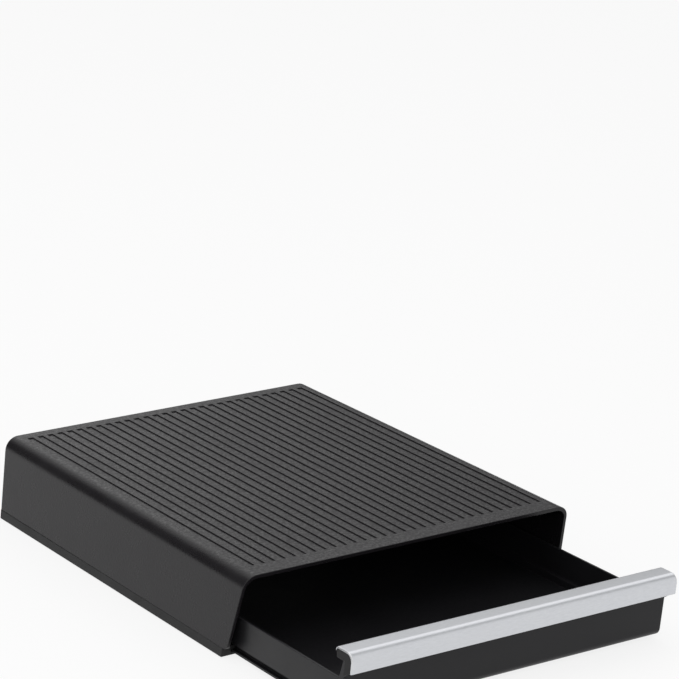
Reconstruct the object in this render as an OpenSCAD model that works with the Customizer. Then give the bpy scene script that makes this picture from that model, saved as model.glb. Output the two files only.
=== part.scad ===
// Capsule drawer for a counter top: a flared housing with a ribbed deck,
// and a shallow tray that slides out of it on two grooved runners.
// Lengths are in millimetres and angles in degrees.

/* [Housing] */
// Width of the deck between its two side corners, before they are rounded
deck_w = 264.4; // [240:0.2:320]
// Depth of the deck from its front edge to the back
housing_d = 328; // [250:1:420]
// Height of the deck above the underside of the runners
housing_h = 61.4; // [56:0.2:80]
// Outward lean of the side walls
side_flare = 5.1; // [0:0.1:8]
// Backward lean of the side walls' front edges, from the deck down
front_rake = 15; // [0:0.5:20]
// Outer radius where the deck turns into the side walls
deck_corner_r = 10.6; // [6:0.2:14]
// Radius of the lower front corner of each side wall
wall_corner_r = 4; // [1:0.5:8]
// Thickness of the side walls and of the back wall
wall_t = 2.4; // [2:0.1:3]
// Thickness of the deck
deck_t = 3; // [2.4:0.1:4]

/* [Deck ribs and channels] */
// Number of shallow channels along the deck
channel_count = 30; // [4:1:36]
// Distance between neighbouring channels
channel_pitch = 8.1; // [6:0.1:10]
// Width of one channel
channel_w = 4.4; // [2:0.1:5]
// Depth of one channel
channel_depth = 0.8; // [0.3:0.1:1.2]
// Plain margin of the deck in front of the channels
channel_front_margin = 15.7; // [8:0.1:40]
// Plain margin of the deck behind the channels
channel_back_margin = 10; // [4:0.5:40]
// Number of stiffening ribs across the underside of the deck
rib_count = 5; // [2:1:8]
// Thickness of a stiffening rib
rib_t = 1.8; // [1.2:0.1:3]
// Height of a stiffening rib
rib_h = 4; // [2:0.2:6]
// Distance of the first and last rib from the ends of the deck
rib_margin = 45; // [30:1:80]

/* [Runners and feet] */
// Width of a runner from its outer bottom edge to its upper lip
runner_w = 10.7; // [10.2:0.1:15]
// Height of a runner
runner_h = 6.4; // [5.6:0.1:9]
// How far the runner's outer face stands proud of the side wall
runner_proud = 0.3; // [0:0.1:1]
// Distance of the runner's front end behind the line of the front edge
runner_setback = 3.5; // [2:0.1:12]
// Thickness of the ledge that carries the drawer
ledge_t = 1.9; // [1.7:0.1:2.2]
// Width of the ledge under the drawer
ledge_w = 12; // [6:0.5:24]
// Length of a rubber foot
foot_l = 26; // [12:1:40]
// Width of a rubber foot
foot_w = 4.8; // [3:0.1:5.2]
// Thickness of a rubber foot
foot_t = 2; // [1.6:0.1:3]
// Depth of the pocket that holds the foot
foot_pocket = 1.2; // [0.6:0.1:1.4]
// Distance of each foot's middle from the end of its runner
foot_inset = 22; // [21:1:60]
// Number of screws in each runner
runner_screw_count = 3; // [2:1:5]
// Distance of the end screws from the ends of the runner
runner_screw_inset = 48; // [44:1:90]
// Height of the screw bosses on the side walls
boss_h = 10; // [6:0.5:14]
// Radius of the screw bosses
boss_r = 2.6; // [2.2:0.1:3.2]

/* [Drawer] */
// How far the drawer stands open
drawer_open = 118; // [0:1:200]
// Thickness of the tray's side and back walls
tray_wall = 1.8; // [1.4:0.1:3]
// Thickness of the tray's floor
floor_t = 2; // [1.8:0.1:4]
// Thickness of the tray's front wall
front_t = 2.4; // [1.8:0.1:3]
// Backward lean of the drawer front and of the pull, from the top down
drawer_rake = 7; // [0:0.5:14]
// Height of the tray's side and back walls above the underside of the runners
tray_side_h = 29; // [28:0.5:34]
// Outer radius where the drawer front turns under the floor
front_foot_r = 6; // [4:0.5:9]
// How far the neck under the sides steps in over the skid flange
neck_in = 2.6; // [1.6:0.1:4]
// Width of the skid flange that runs in the runner's groove
flange_w = 3.2; // [2:0.1:3.4]
// Thickness of the skid flange
flange_t = 1.6; // [1.2:0.1:1.8]
// Depth of the riser at the front end of each side wall
riser_d = 5; // [2:0.5:12]
// Length of the stop lugs at the back of the tray
lug_l = 6; // [3:0.5:12]
// Height of the stop lugs
lug_h = 8; // [4:0.5:10]
// Distance of the housing's stop ribs behind the front edge of the deck
stop_inset = 52; // [30:1:120]
// Length of the housing's stop ribs
stop_l = 6; // [3:0.5:12]

/* [Pull] */
// Free height between the deck's underside and the top of the pull
pull_headroom = 8.4; // [6:0.2:16]
// Height of the strip's front face from its lower edge to the top
strip_h = 14; // [12:0.2:17]
// Thickness of the strip
strip_t = 1.2; // [0.8:0.1:1.6]
// How far the strip's front face stands in front of the drawer front
pull_reach = 8.6; // [8:0.1:14]
// Depth of the pull from front to back
pull_d = 18.6; // [18:0.2:24]
// Radius of the strip's upper front edge
strip_front_r = 5.8; // [2:0.1:6.4]
// Radius of the strip's upper back edge
strip_back_r = 3; // [2:0.1:4]
// Height of the core bar under the strip
core_h = 6.3; // [6.2:0.1:7.5]
// Depth of the slot in the core that takes the top of the front wall
seat_depth = 4.8; // [4.4:0.1:5]
// Thickness of the cheeks that close the ends of the finger gap
cheek_t = 2.4; // [1.6:0.1:4]
// How far the cheeks reach below the strip's lower edge at the drawer front
cheek_drop = 5; // [0:0.5:8]
// How far the front of the cheeks stops above the strip's lower edge
cheek_lift = 0.8; // [0.2:0.1:3]
// Number of screws that hold the core to the front wall
pull_screw_count = 3; // [2:1:5]
// Distance between neighbouring pull screws
pull_screw_pitch = 85; // [30:1:85]

/* [Screws] */
// Radius of a screw's shank
shank_r = 1.3; // [1:0.05:1.4]
// Radius of a screw's head
head_r = 2.2; // [1.8:0.1:2.3]
// Height of a screw's head
head_h = 1.2; // [1:0.1:1.3]
// Length of each arm pair of the cross recess in a head
recess_l = 2.9; // [1.6:0.1:3.2]
// Width of the cross recess in a head
recess_w = 0.6; // [0.3:0.1:0.8]
// Depth of the cross recess in a head
recess_depth = 0.7; // [0.3:0.1:0.8]
// Length of the shank of a runner screw
runner_shank_l = 12; // [8:0.5:12]

/* [Clearances] */
// Sideways running gap between the tray and the runners
side_gap = 0.6; // [0.3:0.1:1]
// Vertical running gap between the skid flange and the groove
slide_gap = 0.25; // [0.15:0.05:0.35]
// Gap between the top of a runner and the shoulder of the tray above it
shoulder_gap = 1; // [0.5:0.1:2]
// Gap between the closed drawer and the housing's back wall
rear_gap = 0.5; // [0.3:0.1:2]
// Gap between the ends of the pull and the side walls
pull_gap = 0.6; // [0.4:0.1:2]
// Gap between the stop lugs or ribs and the wall that they pass
stop_gap = 0.8; // [0.4:0.1:1.5]
// Gap between the strip and the core inside it
skin_gap = 0.1; // [0.05:0.01:0.2]
// Gap round a seated foot, a screw shank or a seated wall
seat_gap = 0.08; // [0.05:0.01:0.2]
// Gap round a screw head, or round a shank in a clearance hole
head_gap = 0.2; // [0.1:0.05:0.3]
// Plastic left between a screw's or foot's pocket and the open face beside it
pocket_web = 0.4; // [0.3:0.1:0.6]

/* [Hidden] */
$fn = 48;

// Overshoot of a cut past the face that it opens
cut = 1;

plastic_black = [0.13, 0.13, 0.135];
tray_black = [0.1, 0.1, 0.105];
core_black = [0.08, 0.08, 0.085];
runner_black = [0.09, 0.09, 0.095];
rubber_black = [0.04, 0.04, 0.04];
satin_silver = [0.78, 0.79, 0.8];
screw_steel = [0.55, 0.55, 0.56];

// Half width of the housing's outside, and of its inside, at height z
function half_w(z) = deck_w / 2 + tan(side_flare) * (housing_h - z);
function inner_half(z) = half_w(z) - wall_t / cos(side_flare);

// Depth of the side walls' front edge at height z
function front_y(z) = tan(front_rake) * (housing_h - z);

// Depth of the drawer front at height z with the drawer closed, flush with those edges at the tray's sides
function drawer_y(z) = front_y(tray_side_h) + tan(drawer_rake) * (tray_side_h - z);

// Even spread of n places from a to b
function spread(n, a, b) = [for (i = [0 : n - 1]) a + (b - a) * i / (n - 1)];

runner_in = half_w(0) - runner_w;
runner_front = front_y(0) + runner_setback;
ledge_in = runner_in - ledge_w;

neck_half = runner_in - side_gap;
neck_front = runner_front - shoulder_gap;
neck_top = runner_h + shoulder_gap;
tray_half = neck_half + neck_in;
tray_low = ledge_t + slide_gap;
tray_back = housing_d - wall_t - rear_gap;
floor_z = tray_low + floor_t;
flange_half = neck_half + flange_w;
flange_top = tray_low + flange_t;
groove_out = flange_half + side_gap;
groove_top = flange_top + slide_gap;
front_t_y = front_t / cos(drawer_rake);

boss_x = groove_out + head_r + head_gap + pocket_web;
foot_x = groove_out + foot_w / 2 + pocket_web;
foot_stand = foot_t - foot_pocket;
foot_front_y = runner_front + foot_inset;
foot_rear_y = housing_d - foot_inset;
boss_ys = spread(runner_screw_count, runner_front + runner_screw_inset, housing_d - runner_screw_inset);
head_seat = head_h + head_gap;

lug_low = runner_h + boss_h + stop_gap;
lug_high = lug_low + lug_h;
lug_half = inner_half(lug_high) - stop_gap;
stop_half = tray_half + stop_gap;

pull_top = housing_h - deck_t - pull_headroom;
strip_low = pull_top - strip_h;
strip_half = inner_half(pull_top) - pull_gap;
core_inset = strip_t + skin_gap;
core_top = pull_top - core_inset;
core_low = core_top - core_h;
core_half = strip_half - skin_gap;
seat_z = core_low + seat_depth;
front_arc_z = pull_top - strip_front_r;
front_arc_y = drawer_y(front_arc_z) - pull_reach + strip_front_r / cos(drawer_rake);
pull_front = front_arc_y - strip_front_r;
pull_back = pull_front + pull_d;
back_arc_y = pull_back - strip_back_r;
back_arc_z = pull_top - strip_back_r;
core_back = pull_back - core_inset;
pull_screw_z = core_low + head_r + head_gap + pocket_web;
pull_shank_end = drawer_y(pull_screw_z) - pull_reach / 2;
pull_seat_y = back_arc_y - head_h;
pull_shank_l = pull_seat_y - pull_shank_end;

// The origin lies under the middle of the whole object, with the drawer where it stands open
mid_y = (housing_d + pull_front - drawer_open) / 2;

// Moves the housing's pieces, and the drawer's pieces as closed, to the object's origin
module in_place() {
    translate([0, -mid_y, foot_stand]) children();
}

module in_drawer() {
    in_place() translate([0, -drawer_open, 0]) children();
}

// A profile drawn in depth and height, carried across the object
module across(x0, x1) {
    translate([x0, 0, 0]) rotate([90, 0, 90]) linear_extrude(x1 - x0) children();
}

// A profile drawn in width and height, carried from front to back
module along(y0, y1) {
    translate([0, y1, 0]) rotate([90, 0, 0]) linear_extrude(y1 - y0) children();
}

module both_sides() {
    children();
    mirror([1, 0, 0]) children();
}

// Section of the housing at a wall's depth below its outside, down to height low
module housing_section(wall, top, low) {
    r = deck_corner_r - wall;
    arc_z = housing_h - top - r;
    arc_x = half_w(arc_z) - (wall + r) / cos(side_flare);
    foot_half = half_w(low) - wall / cos(side_flare);
    polygon([
        [-foot_half, low], [foot_half, low],
        [arc_x + r * cos(side_flare), arc_z + r * sin(side_flare)], [arc_x, housing_h - top],
        [-arc_x, housing_h - top], [-arc_x - r * cos(side_flare), arc_z + r * sin(side_flare)]
    ]);
    for (side = [-1, 1]) translate([side * arc_x, arc_z]) circle(r);
}

// Side view of the housing: raked front edge with a rounded lower corner
module housing_side() {
    arc_z = runner_h + wall_corner_r;
    arc_y = front_y(arc_z) + wall_corner_r / cos(front_rake);
    polygon([
        [front_y(housing_h), housing_h], [housing_d, housing_h], [housing_d, runner_h], [arc_y, runner_h],
        [arc_y - wall_corner_r * cos(front_rake), arc_z - wall_corner_r * sin(front_rake)]
    ]);
    translate([arc_y, arc_z]) circle(wall_corner_r);
}

// Solid shape of the housing before it is hollowed
module housing_block() {
    intersection() {
        along(-cut, housing_d) housing_section(0, 0, runner_h);
        across(-half_w(0), half_w(0)) housing_side();
    }
}

module deck_channels() {
    x_end = channel_pitch * (channel_count - 1) / 2;
    length = housing_d - channel_front_margin - channel_back_margin;
    for (x = spread(channel_count, -x_end, x_end))
        translate([x - channel_w / 2, channel_front_margin, housing_h - channel_depth])
            cube([channel_w, length, channel_depth + cut]);
}

module deck_ribs() {
    rib_low = housing_h - deck_t - rib_h;
    for (y = spread(rib_count, rib_margin, housing_d - rib_margin))
        along(y - rib_t / 2, y + rib_t / 2) intersection() {
            housing_section(wall_t / 2, deck_t / 2, rib_low - cut);
            translate([-half_w(0), rib_low]) square([2 * half_w(0), housing_h]);
        }
}

// Bosses for the runner screws and stop ribs for the tray's lugs, grown from the side walls
module wall_bosses() {
    intersection() {
        along(runner_front, housing_d) housing_section(wall_t / 2, deck_t / 2, runner_h);
        both_sides() {
            for (y = boss_ys) translate([boss_x, y, runner_h]) {
                cylinder(r = boss_r, h = boss_h);
                translate([0, -boss_r, 0]) cube([half_w(0) - boss_x, 2 * boss_r, boss_h]);
            }
            translate([stop_half, stop_inset, lug_low])
                cube([half_w(0) - stop_half, stop_l, lug_h]);
        }
    }
}

// Apron of the back wall: it fills the space between the runners and above their ledges
module back_apron() {
    low_half = ledge_in - side_gap;
    high_half = runner_in - side_gap;
    translate([0, housing_d - wall_t, slide_gap]) {
        translate([-low_half, 0, 0]) cube([2 * low_half, wall_t, runner_h]);
        translate([-high_half, 0, ledge_t]) cube([2 * high_half, wall_t, runner_h - ledge_t]);
    }
}

module housing_shell() {
    color(plastic_black) in_place() difference() {
        union() {
            difference() {
                housing_block();
                along(-cut, housing_d - wall_t) housing_section(wall_t, deck_t, runner_h - cut);
            }
            deck_ribs();
            wall_bosses();
            back_apron();
        }
        deck_channels();
        both_sides() for (y = boss_ys) translate([boss_x, y, runner_h - cut])
            cylinder(r = shank_r + seat_gap, h = boss_h + cut - wall_t);
    }
}

// Section of the right runner: a ledge under the drawer and a lip over its skid flange
module runner_section() {
    polygon([
        [ledge_in, 0], [half_w(0) + runner_proud, 0], [half_w(runner_h) + runner_proud, runner_h],
        [runner_in, runner_h], [runner_in, groove_top], [groove_out, groove_top],
        [groove_out, ledge_t], [ledge_in, ledge_t]
    ]);
}

// Outline of a foot with round ends, grown by a gap
module foot_outline(gap) {
    straight = foot_l - foot_w;
    translate([-foot_w / 2 - gap, -straight / 2]) square([foot_w + 2 * gap, straight]);
    for (end = [-1, 1]) translate([0, end * straight / 2]) circle(foot_w / 2 + gap);
}

module runner() {
    difference() {
        along(runner_front, housing_d) runner_section();
        for (y = boss_ys) translate([boss_x, y, -cut]) {
            cylinder(r = shank_r + head_gap, h = runner_h + 2 * cut);
            cylinder(r = head_r + head_gap, h = head_seat + cut);
        }
        for (y = [foot_front_y, foot_rear_y]) translate([foot_x, y, -cut])
            linear_extrude(foot_pocket + cut) foot_outline(seat_gap);
    }
}

module left_runner() {
    color(runner_black) in_place() mirror([1, 0, 0]) runner();
}

module right_runner() {
    color(runner_black) in_place() runner();
}

module foot(side, y) {
    color(rubber_black) in_place() translate([side * foot_x, y, foot_pocket - foot_t])
        linear_extrude(foot_t) foot_outline(0);
}

module front_left_foot() {
    foot(-1, foot_front_y);
}

module front_right_foot() {
    foot(1, foot_front_y);
}

module rear_left_foot() {
    foot(-1, foot_rear_y);
}

module rear_right_foot() {
    foot(1, foot_rear_y);
}

// A pan-head screw along +Z, with the underside of its head at the origin
module screw(shank_l) {
    cylinder(r = shank_r, h = shank_l);
    difference() {
        translate([0, 0, -head_h]) cylinder(r = head_r, h = head_h);
        for (turn = [0, 90]) rotate(turn)
            translate([-recess_l / 2, -recess_w / 2, -head_h - cut])
                cube([recess_l, recess_w, recess_depth + cut]);
    }
}

module runner_screws() {
    color(screw_steel) in_place() both_sides()
        for (y = boss_ys) translate([boss_x, y, head_seat]) screw(runner_shank_l);
}

// A block whose raked front turns under through an arc into its flat underside
module turned_under(half, y_shift, low, r, far_y, high) {
    arc_z = low + r;
    arc_y = drawer_y(arc_z) + y_shift + r / cos(drawer_rake);
    union() {
        across(-half, half) polygon([
            [arc_y, low], [arc_y - r * cos(drawer_rake), arc_z - r * sin(drawer_rake)],
            [drawer_y(high) + y_shift, high], [far_y, high], [far_y, low]
        ]);
        across(-half, half) translate([arc_y, arc_z]) circle(r);
    }
}

// Outside of the tray: full width at the front, with a neck over the skid flanges behind it
module tray_block() {
    difference() {
        turned_under(tray_half, 0, tray_low, front_foot_r, tray_back, seat_z);
        both_sides() translate([neck_half, neck_front, tray_low - cut])
            cube([tray_half, tray_back, neck_top - tray_low + cut]);
    }
    both_sides() translate([neck_half - tray_wall, neck_front, tray_low])
        cube([tray_wall + flange_w, tray_back - neck_front, flange_t]);
}

// Room above the sides and the back, behind the front wall and the risers
module tray_top_cut() {
    riser_back = drawer_y(core_low) + front_t_y + riser_d;
    across(-tray_half - cut, tray_half + cut) polygon([
        [drawer_y(seat_z + cut) + front_t_y, seat_z + cut], [drawer_y(core_low) + front_t_y, core_low],
        [riser_back, tray_side_h], [tray_back + cut, tray_side_h], [tray_back + cut, seat_z + cut]
    ]);
}

module tray_hollow() {
    inner_r = front_foot_r - front_t;
    far_y = tray_back - tray_wall;
    low_half = neck_half - tray_wall;
    high_half = tray_half - tray_wall;
    turned_under(low_half, front_t_y, floor_z, inner_r, far_y, housing_h);
    intersection() {
        turned_under(high_half, front_t_y, floor_z, inner_r, far_y, housing_h);
        translate([-tray_half, -housing_d, neck_top + tray_wall])
            cube([2 * tray_half, 2 * housing_d, housing_h]);
    }
}

// Stop lugs on the back ends of the sides
module tray_lugs() {
    both_sides() translate([tray_half - tray_wall, tray_back - lug_l, lug_low])
        cube([lug_half - tray_half + tray_wall, lug_l, lug_h]);
}

// Seats of the pull screws' heads, with each screw pointing to the front
module at_pull_screws() {
    x_end = pull_screw_pitch * (pull_screw_count - 1) / 2;
    for (x = spread(pull_screw_count, -x_end, x_end))
        translate([x, pull_seat_y, pull_screw_z]) rotate([90, 0, 0]) children();
}

module drawer_tray() {
    color(tray_black) in_drawer() difference() {
        union() {
            difference() {
                tray_block();
                tray_top_cut();
                tray_hollow();
            }
            tray_lugs();
        }
        at_pull_screws() cylinder(r = shank_r + head_gap, h = pull_shank_l);
    }
}

// The pull's bar at a depth below its skin, down to height low, with its two upper edges rounded
module pull_bar(inset, low, half) {
    front_r = strip_front_r - inset;
    back_r = strip_back_r - inset;
    union() {
        across(-half, half) polygon([
            [drawer_y(low) - pull_reach + inset / cos(drawer_rake), low],
            [front_arc_y - front_r * cos(drawer_rake), front_arc_z - front_r * sin(drawer_rake)],
            [front_arc_y, pull_top - inset], [back_arc_y, pull_top - inset],
            [pull_back - inset, back_arc_z], [pull_back - inset, low]
        ]);
        across(-half, half) translate([front_arc_y, front_arc_z]) intersection() {
            circle(front_r);
            translate([-front_r, low - front_arc_z]) square([2 * front_r, pull_top - low]);
        }
        across(-half, half) translate([back_arc_y, back_arc_z]) circle(back_r);
    }
}

// Side view of a cheek, which fills the end of the finger gap
module cheek_section() {
    low_back = strip_low - cheek_drop;
    low_front = strip_low + cheek_lift;
    high = core_low + seat_depth / 2;
    front_shift = (core_inset + skin_gap) / cos(drawer_rake) - pull_reach;
    polygon([
        [drawer_y(low_back) - seat_gap, low_back], [drawer_y(high) - seat_gap, high],
        [drawer_y(high) + front_shift, high], [drawer_y(low_front) + front_shift, low_front]
    ]);
}

// Side view of the slot that takes the top of the front wall
module seat_section() {
    low = core_low - cut;
    polygon([
        [drawer_y(low) - seat_gap, low], [drawer_y(seat_z) - seat_gap, seat_z],
        [drawer_y(seat_z) + front_t_y + seat_gap, seat_z], [drawer_y(low) + front_t_y + seat_gap, low]
    ]);
}

module pull_core() {
    color(core_black) in_drawer() difference() {
        union() {
            pull_bar(core_inset, core_low, core_half);
            both_sides() across(core_half - cheek_t, core_half) cheek_section();
        }
        across(-tray_half - seat_gap, tray_half + seat_gap) seat_section();
        at_pull_screws() {
            cylinder(r = shank_r + seat_gap, h = pull_shank_l + seat_gap);
            mirror([0, 0, 1]) cylinder(r = head_r + head_gap, h = core_back - pull_seat_y + cut);
        }
    }
}

module pull_strip() {
    color(satin_silver) in_drawer() difference() {
        pull_bar(0, strip_low, strip_half);
        pull_bar(strip_t, strip_low - cut, strip_half + cut);
        across(-strip_half - cut, strip_half + cut) translate([back_arc_y, strip_low - cut])
            square([pull_d, back_arc_z - strip_low + cut]);
    }
}

module pull_screws() {
    color(screw_steel) in_drawer() at_pull_screws() screw(pull_shank_l);
}

housing_shell();
left_runner();
right_runner();
front_left_foot();
front_right_foot();
rear_left_foot();
rear_right_foot();
runner_screws();
drawer_tray();
pull_core();
pull_strip();
pull_screws();
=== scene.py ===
from math import cos, radians, sin, tan

import bmesh
import bpy
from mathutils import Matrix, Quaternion, Vector


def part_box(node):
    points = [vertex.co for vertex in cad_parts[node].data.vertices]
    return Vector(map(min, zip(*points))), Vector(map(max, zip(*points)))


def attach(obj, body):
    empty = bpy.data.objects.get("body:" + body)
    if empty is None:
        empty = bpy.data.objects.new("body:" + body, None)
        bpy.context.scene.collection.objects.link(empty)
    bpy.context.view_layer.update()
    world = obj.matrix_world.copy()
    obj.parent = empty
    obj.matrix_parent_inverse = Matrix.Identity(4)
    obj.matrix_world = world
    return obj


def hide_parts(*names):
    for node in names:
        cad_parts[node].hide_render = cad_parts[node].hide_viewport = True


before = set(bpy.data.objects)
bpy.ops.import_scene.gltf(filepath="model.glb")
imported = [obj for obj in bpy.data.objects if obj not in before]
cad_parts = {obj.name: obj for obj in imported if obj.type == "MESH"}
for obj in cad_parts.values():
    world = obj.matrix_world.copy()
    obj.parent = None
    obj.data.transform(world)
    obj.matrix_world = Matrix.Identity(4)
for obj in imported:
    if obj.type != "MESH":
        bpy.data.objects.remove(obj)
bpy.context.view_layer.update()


# Housing: the low black shell that carries the deck, with flared side walls and an open front.
# It is moulded in one piece from black plastic with a fine eroded grain, and thirty shallow channels
# are sunk into its deck. The mould leaves every edge slightly rounded, most of all at the back corners.
MM = 0.001
TOUCH = 0.02 * MM
FLAT = radians(0.6)
SHARP = radians(55)
SMOOTH = radians(42)


def moulding(node):
    """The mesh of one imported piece, with its loose triangles joined up into whole faces."""
    mesh = bmesh.new()
    mesh.from_mesh(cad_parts[node].data)
    bmesh.ops.remove_doubles(mesh, verts=mesh.verts[:], dist=TOUCH / 2)
    bmesh.ops.dissolve_limit(mesh, angle_limit=FLAT, verts=mesh.verts[:], edges=mesh.edges[:])
    mesh.verts.layers.float.new("edge")
    return mesh


def middle(edge):
    return (edge.verts[0].co + edge.verts[1].co) / 2


def sharp_edges(mesh, where, shortest=0.0):
    """The edges with a hard corner whose two ends both pass a test on their place."""
    return [
        edge
        for edge in mesh.edges
        if edge.is_manifold
        and edge.calc_face_angle() > SHARP
        and edge.calc_length() >= shortest
        and all(where(vert.co) for vert in edge.verts)
    ]


def looks_away(edge, inside):
    """For each face at an edge, whether it looks away from a point inside the piece."""
    return [face.normal.dot(middle(edge) - inside) > 0 for face in edge.link_faces]


def round_off(mesh, edges, radius, steps=2, rubbed_and_highlit=True):
    """Rounds edges, and marks the crest of each round for rub wear and a painted highlight."""
    made = bmesh.ops.bevel(
        mesh, geom=edges, offset=radius, offset_type="OFFSET", segments=steps, profile=0.5,
        affect="EDGES", clamp_overlap=False, material=-1,
    )
    if not rubbed_and_highlit:
        return
    # The crest mark drives rub wear and a painted highlight along each round.
    rounds = set(made["faces"])
    crest = mesh.verts.layers.float["edge"]
    for vert in made["verts"]:
        if all(face in rounds for face in vert.link_faces):
            vert[crest] = 1.0


def piece_from(mesh, name, material):
    """Turns a finished mesh into a piece with even shading over its flats and rounds."""
    data = bpy.data.meshes.new(name)
    mesh.to_mesh(data)
    mesh.free()
    if "custom_normal" in data.attributes:
        data.attributes.remove(data.attributes["custom_normal"])
    data.shade_smooth()
    data.set_sharp_from_angle(angle=SMOOTH)
    data.materials.append(material)
    piece = bpy.data.objects.new(name, data)
    bpy.context.scene.collection.objects.link(piece)
    shading = piece.modifiers.new("even_shading", "WEIGHTED_NORMAL")
    shading.keep_sharp = True
    return piece


def shader_node(tree, kind, sockets=None, **settings):
    """One shader node, with its settings and the values of its sockets."""
    made = tree.nodes.new(kind)
    for key, value in settings.items():
        setattr(made, key, value)
    for key, value in (sockets or {}).items():
        made.inputs[key].default_value = value
    return made


def new_group(name, inputs, outputs):
    """An empty shader node group with named value sockets, and its two end nodes."""
    tree = bpy.data.node_groups.new(name, "ShaderNodeTree")
    for socket, value in inputs.items():
        made = tree.interface.new_socket(socket, in_out="INPUT", socket_type="NodeSocketFloat")
        made.default_value = value
    for socket in outputs:
        tree.interface.new_socket(socket, in_out="OUTPUT", socket_type="NodeSocketFloat")
    return tree, tree.nodes.new("NodeGroupInput"), tree.nodes.new("NodeGroupOutput")


def eroded_grain():
    """Spark-eroded mould grain: fine pits as a height, slow clouds of sheen, specks on level faces."""
    tree, inside, outside = new_group(
        "eroded_grain",
        {"Grains per metre": 2200.0, "Clouds per metre": 26.0, "Specks per metre": 420.0},
        ["Height", "Cloud", "Specks"],
    )
    surface = shader_node(tree, "ShaderNodeTexCoord")
    lean = shader_node(tree, "ShaderNodeSeparateXYZ")
    level = shader_node(tree, "ShaderNodeMapRange", {"From Min": 0.9, "From Max": 0.99})
    pits = shader_node(tree, "ShaderNodeTexVoronoi", {"Randomness": 1.0}, feature="SMOOTH_F1")
    fine = shader_node(tree, "ShaderNodeTexNoise", {"Detail": 2.0, "Roughness": 0.6})
    both = shader_node(tree, "ShaderNodeMath", operation="MULTIPLY")
    cloud = shader_node(
        tree, "ShaderNodeTexNoise", {"Detail": 3.0, "Roughness": 0.55, "Distortion": 0.4}
    )
    specks = shader_node(tree, "ShaderNodeTexNoise", {"Detail": 2.0, "Roughness": 0.7})
    bright = shader_node(tree, "ShaderNodeMapRange", {"From Min": 0.42, "From Max": 0.72})
    on_level = shader_node(tree, "ShaderNodeMath", operation="MULTIPLY")
    densities = (
        (pits, "Grains per metre"), (fine, "Grains per metre"),
        (cloud, "Clouds per metre"), (specks, "Specks per metre"),
    )
    for texture, density in densities:
        tree.links.new(surface.outputs["Object"], texture.inputs["Vector"])
        tree.links.new(inside.outputs[density], texture.inputs["Scale"])
    tree.links.new(pits.outputs["Distance"], both.inputs[0])
    tree.links.new(fine.outputs[0], both.inputs[1])
    tree.links.new(both.outputs[0], outside.inputs["Height"])
    tree.links.new(cloud.outputs[0], outside.inputs["Cloud"])
    tree.links.new(surface.outputs["Normal"], lean.inputs[0])
    tree.links.new(lean.outputs["Z"], level.inputs["Value"])
    tree.links.new(specks.outputs[0], bright.inputs["Value"])
    tree.links.new(bright.outputs[0], on_level.inputs[0])
    tree.links.new(level.outputs[0], on_level.inputs[1])
    tree.links.new(on_level.outputs[0], outside.inputs["Specks"])
    return tree


def rubbed_edge_highlight():
    """Paler crests of edges in broken stretches: handling wear, and a painted highlight along each crest.
    """
    tree, inside, outside = new_group("rubbed_edge_highlight", {"Breaks per metre": 160.0}, ["Rub"])
    surface = shader_node(tree, "ShaderNodeTexCoord")
    crest = shader_node(tree, "ShaderNodeAttribute", attribute_name="edge")
    breaks = shader_node(tree, "ShaderNodeTexNoise", {"Detail": 3.0, "Roughness": 0.6})
    share = shader_node(tree, "ShaderNodeMapRange", {"From Min": 0.35, "From Max": 0.7, "To Min": 0.3})
    rub_highlight = shader_node(tree, "ShaderNodeMath", operation="MULTIPLY")
    tree.links.new(surface.outputs["Object"], breaks.inputs["Vector"])
    tree.links.new(inside.outputs["Breaks per metre"], breaks.inputs["Scale"])
    tree.links.new(breaks.outputs[0], share.inputs["Value"])
    tree.links.new(share.outputs[0], rub_highlight.inputs[0])
    tree.links.new(crest.outputs["Fac"], rub_highlight.inputs[1])
    tree.links.new(rub_highlight.outputs[0], outside.inputs["Rub"])
    return tree


grain_group = eroded_grain()
rub_highlight_group = rubbed_edge_highlight()


def group_node(tree, group, values=None):
    return shader_node(tree, "ShaderNodeGroup", values, node_tree=group)


# Places of the factor, the two colours and the result on a node that mixes colours.
MIX_FACTOR = 0
MIX_START = 6
MIX_END = 7
MIX_RESULT = 2


def mixed_colour(tree, factor, start, end):
    """A colour between two others. Each is a colour, or the output of another node."""
    mix = shader_node(tree, "ShaderNodeMix", data_type="RGBA")
    tree.links.new(factor, mix.inputs[MIX_FACTOR])
    for socket, colour in ((mix.inputs[MIX_START], start), (mix.inputs[MIX_END], end)):
        if isinstance(colour, tuple):
            socket.default_value = (*colour, 1.0)
        else:
            tree.links.new(colour, socket)
    return mix.outputs[MIX_RESULT]


sheen_spread = 0.05
rub_polish = -0.12


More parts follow.
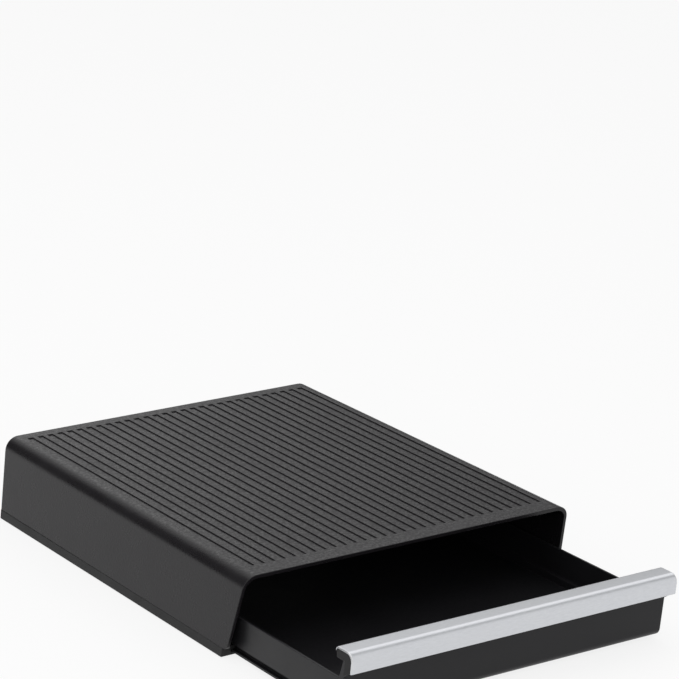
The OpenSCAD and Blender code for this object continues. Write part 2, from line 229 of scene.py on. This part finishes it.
def black_plastic(name, dark, light, worn_and_highlit, rough, gloss, glint, grain_depth, grains):
    """Moulded black plastic: cloudy sheen, pitted grain, glinting specks, and smoother edges painted paler
    as wear and as a painted highlight.
    """
    material = bpy.data.materials.new(name)
    material.use_nodes = True
    tree = material.node_tree
    surface = tree.nodes["Principled BSDF"]
    surface.inputs["Specular IOR Level"].default_value = gloss
    surface.inputs["Coat Roughness"].default_value = rough
    grain = group_node(tree, grain_group, {"Grains per metre": grains})
    rub_highlight = group_node(tree, rub_highlight_group)
    clouded = mixed_colour(tree, grain.outputs["Cloud"], dark, light)
    # Edge crests take the worn colour: rub wear, and a painted highlight along the crest.
    tree.links.new(mixed_colour(tree, rub_highlight.outputs["Rub"], clouded, worn_and_highlit), surface.inputs["Base Color"])
    sheen = shader_node(
        tree, "ShaderNodeMapRange",
        {"From Min": 0.3, "From Max": 0.7, "To Min": rough - sheen_spread, "To Max": rough + sheen_spread},
    )
    polish = shader_node(tree, "ShaderNodeMath", {1: rub_polish}, operation="MULTIPLY_ADD")
    tree.links.new(grain.outputs["Cloud"], sheen.inputs["Value"])
    tree.links.new(rub_highlight.outputs["Rub"], polish.inputs[0])
    tree.links.new(sheen.outputs[0], polish.inputs[2])
    tree.links.new(polish.outputs[0], surface.inputs["Roughness"])
    glints = shader_node(tree, "ShaderNodeMapRange", {"To Max": glint})
    tree.links.new(grain.outputs["Specks"], glints.inputs["Value"])
    tree.links.new(glints.outputs[0], surface.inputs["Coat Weight"])
    bump = shader_node(tree, "ShaderNodeBump", {"Strength": 0.5, "Distance": grain_depth})
    tree.links.new(grain.outputs["Height"], bump.inputs["Height"])
    tree.links.new(bump.outputs[0], surface.inputs["Normal"])
    return material


front_rake = radians(15)
channel_depth = 0.8 * MM
back_corner_r = 0.8 * MM
lip_outer_r = 0.5 * MM
lip_inner_r = 0.3 * MM
channel_edge_r = 0.22 * MM
inner_edge_r = 0.25 * MM
shortest_round = 1.5 * MM

shell_low, shell_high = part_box("housing_shell")
wall_foot_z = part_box("left_runner")[1].z
bay_middle = Vector((0.0, 0.0, shell_high.z / 2))


def on_back(place):
    return place.y > shell_high.y - TOUCH and place.z > wall_foot_z - TOUCH


def on_front(place):
    return abs(place.y - shell_low.y - tan(front_rake) * (shell_high.z - place.z)) < TOUCH


def on_deck(place):
    return place.z > shell_high.z - channel_depth - TOUCH


def below_deck(place):
    return not on_deck(place)


shell = moulding("housing_shell")
back_edges = [edge for edge in sharp_edges(shell, on_back) if middle(edge).z > wall_foot_z + TOUCH]
round_off(shell, back_edges, back_corner_r, steps=4)
outer_lip = [edge for edge in sharp_edges(shell, on_front) if all(looks_away(edge, bay_middle))]
round_off(shell, outer_lip, lip_outer_r, steps=4)
round_off(shell, sharp_edges(shell, on_front), lip_inner_r)
round_off(shell, sharp_edges(shell, on_deck), channel_edge_r)
round_off(shell, sharp_edges(shell, below_deck, shortest_round), inner_edge_r)

housing_plastic = black_plastic(
    "housing_plastic", dark=(0.0102, 0.0092, 0.0106), light=(0.0143, 0.0130, 0.0149),
    worn_and_highlit=(0.036, 0.035, 0.037), rough=0.28, gloss=0.21, glint=0.6,
    grain_depth=0.22 * MM, grains=700.0,
)
housing = piece_from(shell, "housing", housing_plastic)
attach(housing, "housing")
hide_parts("housing_shell")


# Runners: a grooved strip under each side wall, whose lip holds the tray's skid down.
# They are extruded in plain matt black plastic, cut to length and screwed up into the walls.
runner_edge_r = 0.3 * MM
corner_width = 1.0 * MM
corner_height = 5.0 * MM
runner_plastic = black_plastic(
    "runner_plastic", dark=(0.0115, 0.0115, 0.0120), light=(0.0155, 0.0155, 0.0160),
    worn_and_highlit=(0.035, 0.035, 0.036), rough=0.56, gloss=0.32, glint=0.1,
    grain_depth=0.02 * MM, grains=2600.0,
)


def anywhere(place):
    return True


for side in ("left", "right"):
    strip = moulding(side + "_runner")
    runner_low, runner_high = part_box(side + "_runner")
    outer_x = runner_low.x if side == "left" else runner_high.x

    def at_back_corner(place):
        return place.y > runner_high.y - TOUCH and abs(place.x - outer_x) < corner_width

    round_off(strip, sharp_edges(strip, at_back_corner, corner_height), back_corner_r, steps=4)
    round_off(strip, sharp_edges(strip, anywhere, shortest_round), runner_edge_r)
    runner = piece_from(strip, side + "_runner_strip", runner_plastic)
    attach(runner, "housing")
    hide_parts(side + "_runner")


# Feet: four long pads with round ends, pressed into pockets under the runners.
# They are cut from dull black rubber.
foot_edge_r = 0.4 * MM
foot_rubber = black_plastic(
    "foot_rubber", dark=(0.010, 0.010, 0.010), light=(0.017, 0.017, 0.016),
    worn_and_highlit=(0.030, 0.030, 0.029), rough=0.85, gloss=0.25, glint=0.0,
    grain_depth=0.04 * MM, grains=1500.0,
)
for corner in ("front_left", "front_right", "rear_left", "rear_right"):
    pad = moulding(corner + "_foot")
    round_off(pad, sharp_edges(pad, anywhere), foot_edge_r)
    foot = piece_from(pad, corner + "_pad", foot_rubber)
    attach(foot, "housing")
    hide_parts(corner + "_foot")


# Runner screws: six small screws with a cross recess, three up into each wall.
# They are zinc-plated steel.
head_edge_r = 0.12 * MM
zinc_dark = (0.50, 0.51, 0.53)
zinc_light = (0.66, 0.66, 0.64)


def plated_steel():
    """Zinc-plated steel: bright, faintly blotched and smooth."""
    material = bpy.data.materials.new("screw_steel")
    material.use_nodes = True
    tree = material.node_tree
    surface = tree.nodes["Principled BSDF"]
    surface.inputs["Metallic"].default_value = 1.0
    grain = group_node(tree, grain_group, {"Grains per metre": 4000.0, "Clouds per metre": 600.0})
    tone = mixed_colour(tree, grain.outputs["Cloud"], zinc_dark, zinc_light)
    sheen = shader_node(tree, "ShaderNodeMapRange", {"To Min": 0.24, "To Max": 0.42})
    tree.links.new(tone, surface.inputs["Base Color"])
    tree.links.new(grain.outputs["Cloud"], sheen.inputs["Value"])
    tree.links.new(sheen.outputs[0], surface.inputs["Roughness"])
    return material


screw_steel = plated_steel()
screws = moulding("runner_screws")
round_off(screws, sharp_edges(screws, anywhere), head_edge_r)
runner_screws = piece_from(screws, "runner_screw_set", screw_steel)
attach(runner_screws, "housing")
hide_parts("runner_screws")


# Tray: the shallow bin of the drawer, with a raked front wall and a skid along each side.
# It is moulded in one piece from the same black plastic as the housing, a little smoother.
bin_fillet_r = 1.2 * MM
front_corner_r = 1.2 * MM
rim_r = 0.5 * MM
tray_edge_r = 0.3 * MM
lug_reach = 3.24 * MM
floor_t = 2 * MM
wall_length = 12 * MM
faces_forward = -0.1
tray_low, tray_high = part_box("drawer_tray")
side_x = tray_high.x - lug_reach
bin_middle = Vector((0.0, (tray_low.y + tray_high.y) / 2, tray_high.z))


def at_front_side(edge):
    beside = all(abs(abs(vert.co.x) - side_x) < TOUCH for vert in edge.verts)
    return beside and any(face.normal.y < faces_forward for face in edge.link_faces)


def above_floor(place):
    return place.z > tray_low.z + floor_t - TOUCH


def in_bin(edge):
    return not edge.is_convex and not any(looks_away(edge, bin_middle))


tray = moulding("drawer_tray")
bin_edges = [edge for edge in sharp_edges(tray, above_floor, wall_length) if in_bin(edge)]
round_off(tray, bin_edges, bin_fillet_r, steps=4, rubbed_and_highlit=False)
front_corners = [edge for edge in sharp_edges(tray, anywhere) if at_front_side(edge)]
round_off(tray, front_corners, front_corner_r, steps=4)
round_off(tray, sharp_edges(tray, above_floor, wall_length), rim_r, steps=3)
round_off(tray, sharp_edges(tray, anywhere, shortest_round), tray_edge_r)
tray_plastic = black_plastic(
    "tray_plastic", dark=(0.0095, 0.0093, 0.0105), light=(0.0130, 0.0127, 0.0144),
    worn_and_highlit=(0.034, 0.034, 0.036), rough=0.38, gloss=0.23, glint=0.12,
    grain_depth=0.025 * MM, grains=2400.0,
)
tray_bin = piece_from(tray, "tray_bin", tray_plastic)
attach(tray_bin, "drawer")
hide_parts("drawer_tray")


# Pull core: the black bar inside the pull, with a cheek at each end that closes the finger gap.
# It is moulded in plain black plastic, slotted over the tray's front wall and screwed to it.
core_end_r = 0.6 * MM
core_edge_r = 0.3 * MM
core_shortest_round = 1.2 * MM
core_low, core_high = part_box("pull_core")


def at_core_end(place):
    return abs(place.x) > core_high.x - TOUCH


core = moulding("pull_core")
round_off(core, sharp_edges(core, at_core_end), core_end_r, steps=3)
round_off(core, sharp_edges(core, anywhere, core_shortest_round), core_edge_r)
core_plastic = black_plastic(
    "core_plastic", dark=(0.0072, 0.0072, 0.0076), light=(0.0100, 0.0100, 0.0105),
    worn_and_highlit=(0.030, 0.030, 0.031), rough=0.45, gloss=0.16, glint=0.1,
    grain_depth=0.02 * MM, grains=2600.0,
)
pull_core = piece_from(core, "pull_bar", core_plastic)
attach(pull_core, "drawer")
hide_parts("pull_core")


# Pull strip: the silver trim that wraps the top and the front of the pull.
# It is bent from thin sheet, brushed lengthways and finished in satin silver.
strip_end_r = 1.0 * MM
strip_edge_r = 0.3 * MM
faces_down = -0.5
strip_end_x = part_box("pull_strip")[1].x
core_middle = Vector((0.0, (core_low.y + core_high.y) / 2, (core_low.z + core_high.z) / 2))
brush_marks_per_metre = (240.0, 1300.0, 1300.0)
brush_depth = 0.01 * MM
brushed_dark = (0.47, 0.485, 0.515)
brushed_light = (0.77, 0.785, 0.82)
clouded_silver = (0.63, 0.64, 0.66)
# Paler silver for edge crests: rub wear, and a painted highlight.
rubbed_and_highlit_silver = (0.70, 0.70, 0.71)


def at_strip_end(place):
    return abs(place.x) > strip_end_x - TOUCH


def is_cut_edge(edge):
    return any(face.normal.z < faces_down for face in edge.link_faces)


def on_outside(edge):
    return all(looks_away(edge, core_middle)) and not is_cut_edge(edge)


trim = moulding("pull_strip")
outer_ends = [edge for edge in sharp_edges(trim, at_strip_end) if on_outside(edge)]
round_off(trim, outer_ends, strip_end_r, steps=4)
round_off(trim, sharp_edges(trim, anywhere), strip_edge_r)


def satin_silver():
    """Satin silver with fine brushing that runs along the strip."""
    material = bpy.data.materials.new("pull_silver")
    material.use_nodes = True
    tree = material.node_tree
    surface = tree.nodes["Principled BSDF"]
    surface.inputs["Metallic"].default_value = 0.9
    place = shader_node(tree, "ShaderNodeTexCoord").outputs["Object"]
    along = shader_node(tree, "ShaderNodeMapping", {"Scale": brush_marks_per_metre})
    brushing = shader_node(
        tree, "ShaderNodeTexNoise", {"Scale": 1.0, "Detail": 3.0, "Roughness": 0.65}
    )
    rub_highlight = group_node(tree, rub_highlight_group)
    grain = group_node(tree, grain_group, {"Clouds per metre": 18.0})
    tree.links.new(place, along.inputs["Vector"])
    tree.links.new(along.outputs[0], brushing.inputs["Vector"])
    streaks = mixed_colour(tree, brushing.outputs[0], brushed_dark, brushed_light)
    clouded = mixed_colour(tree, grain.outputs["Cloud"], streaks, clouded_silver)
    # Edge crests are painted paler silver: rub wear, and a painted highlight along the crest.
    rubbed_and_highlit = mixed_colour(tree, rub_highlight.outputs["Rub"], clouded, rubbed_and_highlit_silver)
    tree.links.new(rubbed_and_highlit, surface.inputs["Base Color"])
    sheen = shader_node(tree, "ShaderNodeMapRange", {"To Min": 0.25, "To Max": 0.36})
    tree.links.new(brushing.outputs[0], sheen.inputs["Value"])
    tree.links.new(sheen.outputs[0], surface.inputs["Roughness"])
    bump = shader_node(tree, "ShaderNodeBump", {"Strength": 0.15, "Distance": brush_depth})
    tree.links.new(brushing.outputs[0], bump.inputs["Height"])
    tree.links.new(bump.outputs[0], surface.inputs["Normal"])
    return material


pull_strip = piece_from(trim, "pull_trim", satin_silver())
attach(pull_strip, "drawer")
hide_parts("pull_strip")


# Pull screws: three of the same screws, driven forward from inside the tray into the core.
# They are zinc-plated steel too.
screws = moulding("pull_screws")
round_off(screws, sharp_edges(screws, anywhere), head_edge_r)
pull_screws = piece_from(screws, "pull_screw_set", screw_steel)
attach(pull_screws, "drawer")
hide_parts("pull_screws")


# Studio floor: a plain white sweep under the object, which keeps a soft shadow.
# The lens and its reflections see it nearly white.
floor_half = 30.0
floor_drop = 0.05 * MM
floor_share_white = 0.84
pale_grey = (0.86, 0.86, 0.86, 1.0)
full_white = (1.0, 1.0, 1.0, 1.0)
sweep = bmesh.new()
bmesh.ops.create_grid(sweep, x_segments=1, y_segments=1, size=floor_half)
bmesh.ops.translate(sweep, verts=sweep.verts[:], vec=(0.0, 0.0, -floor_drop))
floor_data = bpy.data.meshes.new("studio_floor")
sweep.to_mesh(floor_data)
sweep.free()
floor = bpy.data.objects.new("studio_floor", floor_data)
bpy.context.scene.collection.objects.link(floor)

floor_paint = bpy.data.materials.new("floor_paint")
floor_paint.use_nodes = True
tree = floor_paint.node_tree
tree.nodes.clear()
paint = shader_node(tree, "ShaderNodeBsdfDiffuse", {"Color": pale_grey})
white = shader_node(tree, "ShaderNodeEmission", {"Color": full_white, "Strength": 1.0})
ray = shader_node(tree, "ShaderNodeLightPath")
seen = shader_node(tree, "ShaderNodeMath", operation="MAXIMUM")
seen_too = shader_node(tree, "ShaderNodeMath", operation="MAXIMUM")
share = shader_node(tree, "ShaderNodeMath", {1: floor_share_white}, operation="MULTIPLY")
blend = shader_node(tree, "ShaderNodeMixShader")
out = shader_node(tree, "ShaderNodeOutputMaterial")
tree.links.new(ray.outputs["Is Camera Ray"], seen.inputs[0])
tree.links.new(ray.outputs["Is Glossy Ray"], seen.inputs[1])
tree.links.new(seen.outputs[0], seen_too.inputs[0])
tree.links.new(ray.outputs["Is Transmission Ray"], seen_too.inputs[1])
tree.links.new(seen_too.outputs[0], share.inputs[0])
tree.links.new(share.outputs[0], blend.inputs[0])
tree.links.new(paint.outputs[0], blend.inputs[1])
tree.links.new(white.outputs[0], blend.inputs[2])
tree.links.new(blend.outputs[0], out.inputs["Surface"])
floor_data.materials.append(floor_paint)


# Studio light: a dim room with pale panels behind, at the right, low in front and overhead.
# One large soft box hangs above the object, and a weak one fills the front.
room_level = 0.1
object_middle = Vector((0.0, 0.0, 0.03))
room = bpy.data.worlds.new("studio_room")
bpy.context.scene.world = room
room.use_nodes = True
tree = room.node_tree
backdrop = tree.nodes["Background"]
backdrop.inputs["Color"].default_value = full_white
look = shader_node(tree, "ShaderNodeTexCoord")
dim_room = shader_node(tree, "ShaderNodeValue")
dim_room.outputs[0].default_value = room_level


def with_panel(light, aim, fades, full, strength):
    """The room's light with one more panel, which is full about its aim and fades out around it."""
    facing = shader_node(
        tree, "ShaderNodeVectorMath", {1: Vector(aim).normalized()}, operation="DOT_PRODUCT"
    )
    level = shader_node(
        tree, "ShaderNodeMapRange", {"From Min": fades, "From Max": full, "To Max": strength},
        interpolation_type="SMOOTHSTEP",
    )
    total = shader_node(tree, "ShaderNodeMath", operation="ADD")
    tree.links.new(look.outputs["Generated"], facing.inputs[0])
    tree.links.new(facing.outputs["Value"], level.inputs["Value"])
    tree.links.new(light, total.inputs[0])
    tree.links.new(level.outputs[0], total.inputs[1])
    return total.outputs[0]


light = dim_room.outputs[0]
light = with_panel(light, aim=(0.207, 0.832, 0.515), fades=0.86, full=0.998, strength=0.98)
light = with_panel(light, aim=(0.70, 0.36, 0.62), fades=0.88, full=0.98, strength=1.0)
light = with_panel(light, aim=(0.55, -0.80, 0.25), fades=0.66, full=0.95, strength=0.86)
light = with_panel(light, aim=(0.0, 0.0, 1.0), fades=0.50, full=0.90, strength=0.5)
tree.links.new(light, backdrop.inputs["Strength"])


def soft_box(name, place, size, power):
    """A square lamp that faces the middle of the object."""
    lamp = bpy.data.lights.new(name, "AREA")
    lamp.shape = "SQUARE"
    lamp.size = size
    lamp.energy = power
    box = bpy.data.objects.new(name, lamp)
    bpy.context.scene.collection.objects.link(box)
    box.location = place
    box.rotation_euler = (object_middle - Vector(place)).to_track_quat("-Z", "Y").to_euler()


soft_box("overhead_box", place=(-1.2, 0.0, 2.2), size=4.4, power=46.0)
soft_box("front_fill", place=(-1.8, -2.6, 1.2), size=1.4, power=14.0)


# Camera: a long lens from the front left, a little above the object, as in the photograph.
# Its lens, place and turn were fitted to the edges seen there.
lens_mm = 158.39
sensor_mm = 36.0
sight_limit = 200.0
camera_place = Vector((-1.0978, -1.6216, 0.7657))
camera_turn = radians(34.307)
camera_dip = radians(16.785)
camera_roll = radians(1.077)
view = bpy.data.cameras.new("camera")
view.lens = lens_mm
view.sensor_width = sensor_mm
view.clip_end = sight_limit
camera = bpy.data.objects.new("camera", view)
bpy.context.scene.collection.objects.link(camera)
ahead = Vector((
    sin(camera_turn) * cos(camera_dip), cos(camera_turn) * cos(camera_dip), -sin(camera_dip)
))
camera.location = camera_place
camera.rotation_mode = "QUATERNION"
camera.rotation_quaternion = ahead.to_track_quat("-Z", "Y") @ Quaternion((0.0, 0.0, 1.0), camera_roll)
bpy.context.scene.camera = camera
bpy.context.scene.view_settings.view_transform = "Standard"
